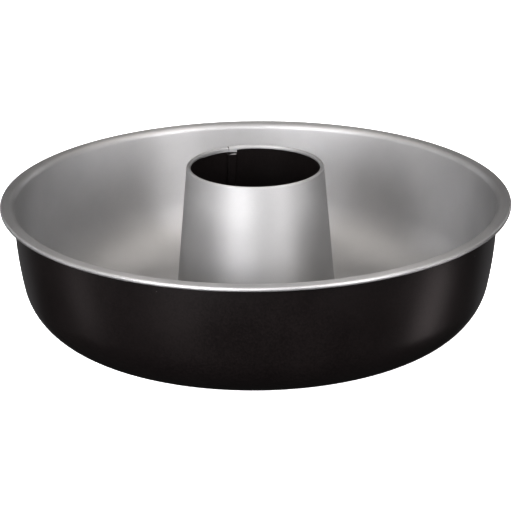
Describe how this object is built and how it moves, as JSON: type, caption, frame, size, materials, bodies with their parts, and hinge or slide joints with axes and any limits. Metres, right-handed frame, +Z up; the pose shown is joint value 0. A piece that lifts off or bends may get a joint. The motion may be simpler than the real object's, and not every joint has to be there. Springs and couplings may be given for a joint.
{
  "type": "ring cake pan",
  "caption": "Round ring cake pan of coated sheet steel with a wide rounded heel, a turned-out rolled rim and a tapered centre tube that is open at both ends.",
  "frame": {"origin": "centre of the flat base, on the plane that the pan rests on", "axes": "+Z up along the pan's axis; +Y towards the folded seam of the tube"},
  "size_m": [0.28, 0.28, 0.09],
  "materials": {
    "black_coated_steel": "satin black non-stick coating outside, silver-grey non-stick coating inside and over the rim",
    "silver_coated_steel": "silver-grey non-stick coating outside and over the lip, satin black coating in the bore"
  },
  "bodies": {
    "root": {"pan_body": "black_coated_steel", "centre_tube": "silver_coated_steel"}
  },
  "joints": []
}
